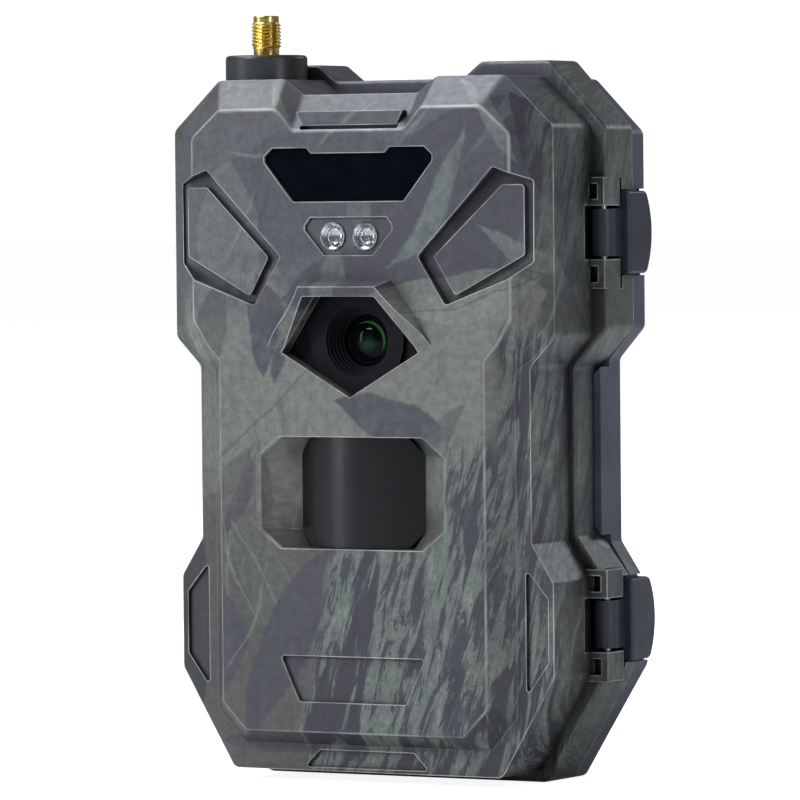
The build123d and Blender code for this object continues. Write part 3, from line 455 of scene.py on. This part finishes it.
def polished(name, base, specular=0.4):
    """Glossy dark window with faint smears."""
    roughness = 0.06
    material, g, shader = new_material(name, roughness, specular=specular)
    smear = g.noise(g.position(), scale=160.0, detail=4.0, roughness=0.6, distortion=0.6)
    g.feed(shader.inputs["Base Color"], g.mix(g.ramp(smear, 0.4, 0.75), base, shaded(base, 1.6)))
    g.feed(shader.inputs["Roughness"], g.ramp(smear, 0.3, 0.8, roughness, roughness + 0.05))
    return material


def clear_plastic():
    """Clear moulded lens."""
    material, g, shader = new_material("clear_lens", 0.02, transmission=1.0)
    shader.inputs["IOR"].default_value = ACRYLIC_IOR
    tint = (0.96, 0.97, 0.98, 1.0)
    haze = g.noise(g.position(), scale=300.0)
    g.feed(shader.inputs["Base Color"], g.mix(g.ramp(haze, 0.3, 0.8), tint, shaded(tint, 0.96)))
    return material


def metal(name, base, roughness, brush=(60.0, 60.0, 2400.0), strength=0.2):
    """Turned or drawn metal with fine tool lines."""
    material, g, shader = new_material(name, roughness, metallic=1.0)
    lines = g.noise(g.scaled(g.position(), brush), 1.0, 3.0, 0.6)
    tarnish = g.noise(g.position(), scale=220.0, detail=4.0)
    g.feed(shader.inputs["Base Color"], g.mix(g.ramp(tarnish, 0.35, 0.75), base, shaded(base, 0.72)))
    g.feed(shader.inputs["Roughness"], g.ramp(lines, 0.3, 0.7, roughness - 0.06, roughness + 0.1))
    bump(g, shader, lines, strength, distance=0.04 * MM)
    return material


def board_material():
    """Green solder mask with traces and pads."""
    material, g, shader = new_material("board_mask", 0.32, coat=0.4)
    where = g.position()
    cells = g.node("ShaderNodeTexVoronoi", feature="DISTANCE_TO_EDGE", Scale=240.0)
    g.feed(cells.inputs["Vector"], where)
    trace = g.ramp(cells.outputs["Distance"], 0.06, 0.03)
    pads = g.node("ShaderNodeTexVoronoi", feature="F1", Scale=420.0)
    g.feed(pads.inputs["Vector"], where)
    crowded = g.ramp(g.noise(where, scale=60.0), 0.5, 0.55)
    pad = g.math("MULTIPLY", g.ramp(pads.outputs["Distance"], 0.16, 0.12), crowded)
    body = g.mix(trace, colour(18, 62, 38), colour(34, 96, 58))
    g.feed(shader.inputs["Base Color"], g.mix(pad, body, colour(196, 184, 140)))
    g.feed(shader.inputs["Metallic"], pad)
    bump(g, shader, g.math("MAXIMUM", trace, pad), strength=0.4, distance=0.05 * MM)
    return material


def pir_film():
    """Dark milky film, moulded in narrow vertical lens strips on its inside."""
    material, g, shader = new_material("pir_film", 0.24, specular=0.4)
    where = g.position()
    strip_width = 1.1 * MM
    strip = g.math("PINGPONG", g.math("DIVIDE", g.axes(where)[0], strip_width), 1.0)
    body = g.mix(g.ramp(strip, 0.2, 0.8), colour(3, 4, 7), colour(6, 8, 11))
    g.feed(shader.inputs["Base Color"], body)
    haze = g.noise(where, scale=500.0)
    g.feed(shader.inputs["Roughness"], g.ramp(haze, 0.3, 0.7, 0.22, 0.27))
    bump(g, shader, g.noise(where, scale=1500.0, detail=2.0), strength=0.06, distance=0.05 * MM)
    return material


def coated_glass():
    """Front lens: near-black, very smooth, with a painted green reflection of its coating: a crescent inside
    its rim and a soft glow.
    """
    material, g, shader = new_material("coated_glass", 0.03, specular=0.09)
    low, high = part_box("lens_front_glass")
    middle = (low + high) / 2.0
    radius = (high.x - low.x) / 2.0
    axes = g.axes(g.position())
    x = g.math("DIVIDE", g.math("SUBTRACT", axes[0], middle.x), radius)
    z = g.math("DIVIDE", g.math("SUBTRACT", axes[2], middle.z), radius)

    def spot(centre_x, centre_z):
        """Distance from a point on the glass, in radii of the glass."""
        dx = g.math("SUBTRACT", x, centre_x)
        dz = g.math("SUBTRACT", z, centre_z)
        return g.math("SQRT", g.math("ADD", g.math("MULTIPLY", dx, dx), g.math("MULTIPLY", dz, dz)))
    # painted reflection: a green crescent of the coating inside the rim, and a soft green glow
    outer = g.ramp(spot(0.03, 0.01), 0.76, 0.70)
    inner = g.ramp(spot(-0.06, -0.09), 0.74, 0.80)
    crescent = g.math("MULTIPLY", outer, inner)
    glow = g.ramp(spot(0.12, -0.12), 0.42, 0.05, 0.0, 0.55)
    body = g.mix(crescent, colour(8, 13, 15), colour(66, 132, 70))
    body = g.mix(glow, body, colour(30, 74, 56))
    edge = spot(0.0, 0.0)
    ring = g.math("MULTIPLY", g.ramp(edge, 0.80, 0.84), g.ramp(edge, 0.92, 0.88))
    g.feed(shader.inputs["Base Color"], g.mix(ring, body, colour(26, 26, 31)))
    return material


def printed_label():
    """Shrink sleeve of a cell: two plain colours, no lettering."""
    material, g, shader = new_material("cell_sleeve", 0.3, coat=0.4)
    where = g.position()
    # two rows of cells stand one above the other, and each has its light band at the top
    rows_start, row_height = 19.8 * MM, 53.2 * MM
    height = g.math("DIVIDE", g.math("SUBTRACT", g.axes(where)[2], rows_start), row_height)
    top = g.ramp(g.math("FRACT", height), 0.66, 0.67)
    body = g.mix(top, colour(28, 40, 62), colour(176, 128, 56))
    scuff = g.ramp(g.noise(where, scale=400.0, detail=4.0), 0.55, 0.8, 0.0, 0.3)
    g.feed(shader.inputs["Base Color"], g.mix(scuff, body, colour(120, 120, 120)))
    bump(g, shader, g.noise(where, scale=700.0), strength=0.1, distance=0.05 * MM)
    return material


def make_materials():
    """One material for each slot of the record."""
    dark = colour(74, 77, 90)
    return {
        "camo_plastic": camouflage(),
        "dark_plastic": plastic("slate_shell", dark, 0.46, 0.6),
        "latch_plastic": plastic("slate_latch", colour(50, 53, 65), 0.4, 0.35, 1.8),
        "black_plastic": plastic("black_bezel", colour(20, 20, 25), 0.5, 0.4, specular=0.12),
        "panel_plastic": plastic("panel_black", colour(36, 37, 40), 0.5, 0.8),
        "lid_plastic": plastic("lid_grey", colour(52, 53, 57), 0.5, 0.8),
        "boss_plastic": plastic("boss_gloss", colour(50, 53, 54), 0.36, 0.05),
        "ir_filter": polished("ir_filter", colour(3, 6, 12), specular=0.25),
        "pir_film": pir_film(),
        "clear_lens": clear_plastic(),
        "lens_glass": coated_glass(),
        "filter_glass": polished("filter_glass", colour(70, 120, 122)),
        "screen": polished("screen_glass", colour(16, 18, 20)),
        "sensor_glass": polished("sensor_glass", colour(30, 40, 48)),
        "led_chip": plastic("phosphor", colour(214, 196, 96), 0.5),
        "led_epoxy": polished("led_epoxy", colour(28, 22, 34)),
        "circuit_board": board_material(),
        "chip_plastic": plastic("chip_package", colour(34, 34, 36), 0.6, 0.8),
        "card_plastic": plastic("card_shell", colour(32, 36, 48), 0.45, 0.5),
        "sim_plastic": plastic("sim_white", colour(222, 222, 216), 0.45, 0.3),
        "switch_plastic": plastic("switch_grey", colour(188, 188, 186), 0.45, 0.4),
        "steel_can": metal("drawn_can", colour(186, 184, 178), 0.3),
        "shield_can": metal("tinned_shield", colour(178, 178, 174), 0.4, (900.0, 900.0, 900.0)),
        "pin_steel": metal("ground_pin", colour(170, 170, 168), 0.28, (2400.0, 2400.0, 40.0)),
        "screw_steel": metal("black_screw", colour(54, 54, 56), 0.38),
        "contact_steel": metal("nickel_contact", colour(226, 227, 228), 0.16),
        "lens_barrel": metal("black_anodised", colour(26, 26, 30), 0.45),
        "gold_brass": metal("gold_plate", colour(248, 218, 132), 0.26, (400.0, 400.0, 400.0), 0.08),
        "insert_brass": metal("turned_brass", colour(196, 164, 98), 0.3),
        "jack_metal": metal("jack_shell", colour(70, 70, 72), 0.4),
        "ptfe": plastic("ptfe_white", colour(226, 226, 220), 0.5, 0.2),
        "coax_jacket": plastic("coax_jacket", colour(34, 34, 36), 0.5, 0.3),
        "key_rubber": plastic("key_silicone", colour(96, 98, 100), 0.62, 0.5),
        "gasket_rubber": plastic("seal_silicone", colour(120, 122, 122), 0.62, 0.5),
        "flap_rubber": plastic("flap_rubber", colour(38, 38, 41), 0.66, 0.7),
        "cell_jacket": printed_label(),
    }


MATERIALS = make_materials()


def dress_cad_nodes():
    """Gives each CAD node its slot's material."""
    for name, obj in NODES.items():
        material = MATERIALS[SLOT_OF[name]]
        if not obj.material_slots:
            obj.data.materials.append(material)
        for slot in obj.material_slots:
            slot.material = material


# ---------------------------------------------------------------- camera, light and floor
VIEW_YAW = 30.0             # degrees round to the latch side
VIEW_PITCH = 1.78           # degrees above level
VIEW_ROLL = -0.0098         # radians
VIEW_DISTANCE = 1.28379     # metres from the point looked at
VIEW_LENS = 287.6           # mm
SENSOR_WIDTH = 36.0         # mm
FAR_CLIP = 50.0             # metres
LOOK_AT = Vector((0.01175, PANEL_Y, 0.07803))


def make_camera():
    """Nearly level view of the front, turned towards the latch side."""
    yaw, pitch = math.radians(VIEW_YAW), math.radians(VIEW_PITCH)
    back = Vector((math.sin(yaw) * math.cos(pitch), -math.cos(yaw) * math.cos(pitch), math.sin(pitch)))
    side = Vector((math.cos(yaw), math.sin(yaw), 0.0))
    up = back.cross(side)
    right = math.cos(VIEW_ROLL) * side + math.sin(VIEW_ROLL) * up
    top = -math.sin(VIEW_ROLL) * side + math.cos(VIEW_ROLL) * up
    data = bpy.data.cameras.new("view")
    data.lens = VIEW_LENS
    data.sensor_width = SENSOR_WIDTH
    data.clip_end = FAR_CLIP
    camera = bpy.data.objects.new("view", data)
    place = LOOK_AT + VIEW_DISTANCE * back
    turn = Matrix((right, top, back)).transposed().to_4x4()
    camera.matrix_world = Matrix.Translation(place) @ turn
    bpy.context.scene.collection.objects.link(camera)
    bpy.context.scene.camera = camera


# Soft boxes: name, place and size in metres, power in watts
LIGHTS = (
    ("key", (-0.7, -1.55, 1.15), (0.5, 0.5), 18.0),
    ("strip", (-1.40, -1.45, 0.25), (0.22, 1.5), 7.0),
    ("right", (1.8, -0.7, 0.4), (0.25, 1.2), 7.0),
    ("top", (-0.8, -0.2, 1.5), (1.2, 1.0), 20.0),
    ("back", (0.9, 1.7, 1.0), (0.8, 0.8), 7.0),
)
LIGHT_TINT = (0.96, 1.0, 1.07)
LIGHTS_AIM = Vector((0.0, 0.0, 0.075))
WHITE = (1.0, 1.0, 1.0, 1.0)
FLOOR_GREY = (0.85, 0.85, 0.85, 1.0)
FLOOR_SIZE = 30.0           # metres
# Strengths with which the surroundings and the floor light the object, and what is added where
# they are seen as the pale background.
WORLD_GLOW, WORLD_SEEN = 0.10, 0.95
FLOOR_GLOW, FLOOR_SEEN = 0.05, 0.85


def add_light(name, place, size, power):
    """Soft box that faces the object."""
    data = bpy.data.lights.new(name, "AREA")
    data.shape = "RECTANGLE"
    data.size, data.size_y = size
    data.energy = power
    data.color = LIGHT_TINT
    lamp = bpy.data.objects.new(name, data)
    lamp.location = place
    lamp.rotation_euler = (LIGHTS_AIM - Vector(place)).to_track_quat("-Z", "Y").to_euler()
    bpy.context.scene.collection.objects.link(lamp)


def background_strength(g, glow, seen_glow):
    """A strength that is higher where the surroundings are seen than where they light the object."""
    seen = g.node("ShaderNodeLightPath").outputs["Is Camera Ray"]
    return g.math("ADD", glow, g.math("MULTIPLY", seen, seen_glow))


def make_studio():
    """Pale floor, near-white surroundings and soft boxes."""
    scene = bpy.context.scene
    scene.view_settings.view_transform = "Standard"
    world = bpy.data.worlds.new("studio")
    world.use_nodes = True
    g = Graph(world.node_tree)
    background = world.node_tree.nodes["Background"]
    background.inputs["Color"].default_value = WHITE
    g.feed(background.inputs["Strength"], background_strength(g, WORLD_GLOW, WORLD_SEEN))
    scene.world = world
    bpy.ops.mesh.primitive_plane_add(size=FLOOR_SIZE, location=(0.0, 0.0, FLOOR_Z))
    floor = bpy.context.object
    floor.name = "floor"
    material, g, shader = new_material("floor", 0.9, specular=0.1)
    shader.inputs["Base Color"].default_value = FLOOR_GREY
    shader.inputs["Emission Color"].default_value = WHITE
    g.feed(shader.inputs["Emission Strength"], background_strength(g, FLOOR_GLOW, FLOOR_SEEN))
    floor.data.materials.append(material)
    for light in LIGHTS:
        add_light(*light)


# ---------------------------------------------------------------- detailed pieces
UP = Vector((0.0, 0.0, 1.0))
BACK = Vector((0.0, 1.0, 0.0))
WELD = 1e-6                             # metres within which two vertices become one
SHARP_ANGLE = math.radians(32)          # faces that meet at more than this keep their edge
THREAD_FADE = 0.6                       # pitches over which a thread fades out at each end
ROWS_PER_PITCH = 8


def finish_piece(bm, name, like, material_slot=None):
    """Turns a bmesh into a piece that rides on the body of a CAD node."""
    bmesh.ops.remove_doubles(bm, verts=bm.verts, dist=WELD)
    bmesh.ops.recalc_face_normals(bm, faces=bm.faces)
    mesh = bpy.data.meshes.new(name)
    bm.to_mesh(mesh)
    bm.free()
    obj = bpy.data.objects.new(name, mesh)
    bpy.context.scene.collection.objects.link(obj)
    slot = material_slot or SLOT_OF[like]
    mesh.materials.append(MATERIALS[slot])
    for face in mesh.polygons:
        face.use_smooth = True
    mesh.set_sharp_from_angle(angle=SHARP_ANGLE)
    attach(obj, BODY_OF[like])
    return obj


def turned(bm, centre, axis, profile, count):
    """Adds a turned solid: profile is (radius, distance along axis) pairs; ends at radius 0 are closed.

    A radius may be a function of the angle round the axis.
    """
    side = Vector((1.0, 0.0, 0.0)) if abs(axis.x) < 0.5 else Vector((0.0, 1.0, 0.0))
    other = axis.cross(side)
    rings = []
    for radius, along in profile:
        if radius == 0.0:
            rings.append([bm.verts.new(centre + axis * along)])
            continue
        ring = []
        for step in range(count):
            angle = 2.0 * math.pi * step / count
            r = radius(angle) if callable(radius) else radius
            outward = side * math.cos(angle) + other * math.sin(angle)
            ring.append(bm.verts.new(centre + axis * along + outward * r))
        rings.append(ring)
    for first, second in zip(rings, rings[1:]):
        for step in range(count):
            after = (step + 1) % count
            corners = [first[step % len(first)], first[after % len(first)],
                       second[after % len(second)], second[step % len(second)]]
            unique = list(dict.fromkeys(corners))
            if len(unique) > 2:
                bm.faces.new(unique)


def in_metres(pairs):
    """(radius, distance) pairs given in millimetres."""
    return [(radius * MM, along * MM) for radius, along in pairs]


def thread_rows(low, high, crest, root, pitch):
    """Profile rows of a helical thread from low to high; it fades out at both ends."""
    rows = []
    count = int(round((high - low) / pitch * ROWS_PER_PITCH))
    run_out = pitch * THREAD_FADE
    for index in range(count + 1):
        along = low + (high - low) * index / count
        fade = min(1.0, (along - low) / run_out, (high - along) / run_out)

        def radius(angle, along=along, fade=fade):
            phase = (along / pitch - angle / (2.0 * math.pi)) % 1.0
            return root + (crest - root) * fade * (1.0 - abs(2.0 * phase - 1.0))
        rows.append((radius, along))
    return rows


def middle_of(node):
    """Middle of a CAD node's box."""
    low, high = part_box(node)
    return (low + high) / 2.0


def make_sma_connector():
    """Gold antenna connector with its 36-per-inch thread between a plain neck and a plain tip."""
    low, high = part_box("sma_connector")
    centre = middle_of("sma_connector")
    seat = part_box("antenna_boss")[1].z
    body, neck, bore = 3.6 * MM, 2.6 * MM, 2.3 * MM
    crest, root, pitch = 3.15 * MM, 2.65 * MM, 0.7056 * MM
    thread = (seat + 1.45 * MM, high.z - 1.35 * MM)
    tip = high.z - 1.3 * MM
    chamfer = high.z - 0.15 * MM
    profile = [(bore, low.z), (body, low.z), (body, seat), (neck, seat)]
    profile += thread_rows(*thread, crest, root, pitch)
    profile += [(neck, tip), (neck, chamfer), (neck - 0.12 * MM, high.z), (bore, high.z), (bore, low.z)]
    bm = bmesh.new()
    turned(bm, Vector((centre.x, centre.y, 0.0)), UP, profile, count=96)
    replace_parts(finish_piece(bm, "sma_threaded_jack", "sma_connector"), "sma_connector")


def make_tripod_insert():
    """Brass insert with the helical quarter-inch thread in its blind hole."""
    low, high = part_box("tripod_insert")
    outer = (high.x - low.x) / 2.0
    root, crest, pitch, depth = 3.05 * MM, 2.55 * MM, 1.27 * MM, 8.0 * MM
    countersink = root + 0.25 * MM
    profile = [(0.0, high.z), (outer, high.z), (outer, low.z), (countersink, low.z)]
    profile += thread_rows(low.z + 0.3 * MM, depth - 0.6 * MM, crest, root, pitch)
    profile += [(crest, depth), (0.0, depth)]
    bm = bmesh.new()
    turned(bm, Vector((0.0, 0.0, 0.0)), UP, profile, count=72)
    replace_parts(finish_piece(bm, "tripod_threaded_insert", "tripod_insert"), "tripod_insert")


# Profiles of a flash lamp: (radius, depth behind its front) in millimetres
LAMP_CUP = (
    (2.85, 0.0), (2.62, 0.0), (2.55, 0.25), (2.3, 0.45), (2.25, 0.85), (1.95, 1.1), (1.9, 1.5),
    (1.55, 1.8), (1.5, 2.2), (0.0, 2.3), (0.0, 2.5), (2.85, 2.5), (2.85, 0.0),
)
LAMP_DOME = (
    (0.0, 0.28), (0.30, 0.26), (0.42, 0.36), (0.75, 0.38), (0.85, 0.48), (1.15, 0.52), (1.25, 0.64),
    (1.55, 0.74), (1.65, 0.9), (1.8, 1.15), (1.45, 1.6), (0.0, 1.7),
)


def make_lamps():
    """Stepped silver reflector and clear ringed dome of each flash lamp."""
    low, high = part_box("flash_lenses")
    radius = (high.z - low.z) / 2.0
    across = (high.x - low.x) / 2.0 - radius
    cups, domes = bmesh.new(), bmesh.new()
    for side in (-1, 1):
        centre = Vector((side * across, low.y, middle_of("flash_lenses").z))
        turned(cups, centre, BACK, in_metres(LAMP_CUP), count=48)
        turned(domes, centre, BACK, in_metres(LAMP_DOME), count=48)
    finish_piece(cups, "flash_reflectors", "flash_lenses", "contact_steel")
    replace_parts(finish_piece(domes, "flash_ringed_domes", "flash_lenses"), "flash_lenses")


def make_panel_screws():
    """Pan-head screws with a cross recess on the inner panel."""
    bm = bmesh.new()
    for near, far in split_solids(NODES["panel_screws"]):
        centre = Vector(((near.x + far.x) / 2.0, far.y, (near.z + far.z) / 2.0))
        head = (far.x - near.x) / 2.0
        shank = head * 0.5
        tip = near.y - far.y

        def cross(angle, size=head):
            """Radius of the recess: four narrow arms round a small middle."""
            arm = abs(math.cos(2.0 * angle)) ** 6
            return size * (0.16 + 0.42 * arm)
        profile = [(0.0, -0.9 * MM), (cross, -0.85 * MM), (cross, -0.12 * MM), (head * 0.72, -0.05 * MM),
                   (head * 0.93, -0.2 * MM), (head, -0.5 * MM), (head, -1.0 * MM), (shank, -1.0 * MM),
                   (shank, tip), (0.0, tip)]
        turned(bm, centre, BACK, profile, count=64)
    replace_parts(finish_piece(bm, "cross_recess_screws", "panel_screws"), "panel_screws")


def split_solids(obj):
    """(lowest, highest corner) of each loose solid of a CAD node."""
    bm = bmesh.new()
    bm.from_mesh(obj.data)
    bmesh.ops.remove_doubles(bm, verts=bm.verts, dist=WELD)
    left = set(bm.verts)
    boxes = []
    while left:
        queue = [left.pop()]
        found = list(queue)
        while queue:
            for edge in queue.pop().link_edges:
                for vert in edge.verts:
                    if vert in left:
                        left.remove(vert)
                        queue.append(vert)
                        found.append(vert)
        corners = [[vert.co[i] for vert in found] for i in range(3)]
        boxes.append((Vector([min(c) for c in corners]), Vector([max(c) for c in corners])))
    bm.free()
    return boxes


def make_cells():
    """AA cells with crimped ends and a raised positive nub."""
    bm = bmesh.new()
    for near, far in split_solids(NODES["battery_cells"]):
        centre = Vector(((near.x + far.x) / 2.0, (near.y + far.y) / 2.0, 0.0))
        can = (far.x - near.x) / 2.0
        nub = 2.75 * MM
        top, base = far.z, near.z
        profile = [(0.0, top), (nub - 0.15 * MM, top), (nub, top - 0.15 * MM), (nub, top - 1.1 * MM),
                   (5.6 * MM, top - 1.2 * MM), (can - 0.25 * MM, top - 1.3 * MM), (can, top - 1.7 * MM),
                   (can, base + 0.5 * MM), (can - 0.4 * MM, base + 0.1 * MM), (5.2 * MM, base + 0.1 * MM),
                   (5.0 * MM, base), (0.0, base)]
        turned(bm, centre, UP, profile, count=48)
    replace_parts(finish_piece(bm, "aa_cells", "battery_cells"), "battery_cells")


# Raised marks on the keys, in millimetres: an arrow's corners (across, up), how far its face is
# drawn in, how far a mark reaches into and out of the key, and the ring as (radius, distance) pairs.
ARROW = ((-1.3, -0.7), (1.3, -0.7), (0.0, 1.2))
ARROW_FACE = 0.86
MARK_SUNK, MARK_RAISED = 0.05, 0.12
KEY_RING = (
    (1.3, -MARK_SUNK), (1.35, MARK_RAISED), (1.7, MARK_RAISED), (1.75, -MARK_SUNK), (1.3, -MARK_SUNK),
)


def face_of(node):
    """Middle of the face of a CAD node that points back into the camera."""
    middle = middle_of(node)
    return Vector((middle.x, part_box(node)[1].y, middle.z))


def make_key_arrow(key, degrees):
    """A raised arrow on one of the outer keys."""
    centre = face_of(f"key_{key}")
    cosine, sine = math.cos(math.radians(degrees)), math.sin(math.radians(degrees))
    outline = [Vector((x * cosine - z * sine, 0.0, x * sine + z * cosine)) * MM for x, z in ARROW]
    bm = bmesh.new()
    base = [bm.verts.new(centre + point - BACK * MARK_SUNK * MM) for point in outline]
    face = [bm.verts.new(centre + point * ARROW_FACE + BACK * MARK_RAISED * MM) for point in outline]
    bm.faces.new(base)
    bm.faces.new(face)
    for index in range(3):
        after = (index + 1) % 3
        bm.faces.new((base[index], base[after], face[after], face[index]))
    finish_piece(bm, f"key_mark_{key}", f"key_{key}", "switch_plastic")


def make_key_marks():
    """A raised arrow on each of the four outer keys and a ring on the middle one."""
    for key, degrees in (("up", 0.0), ("left", 90.0), ("down", 180.0), ("right", 270.0)):
        make_key_arrow(key, degrees)
    bm = bmesh.new()
    turned(bm, face_of("key_ok"), BACK, in_metres(KEY_RING), count=48)
    finish_piece(bm, "key_mark_ok", "key_ok", "switch_plastic")


make_camera()
make_studio()
dress_cad_nodes()
make_sma_connector()
make_tripod_insert()
make_lamps()
make_panel_screws()
make_cells()
make_key_marks()
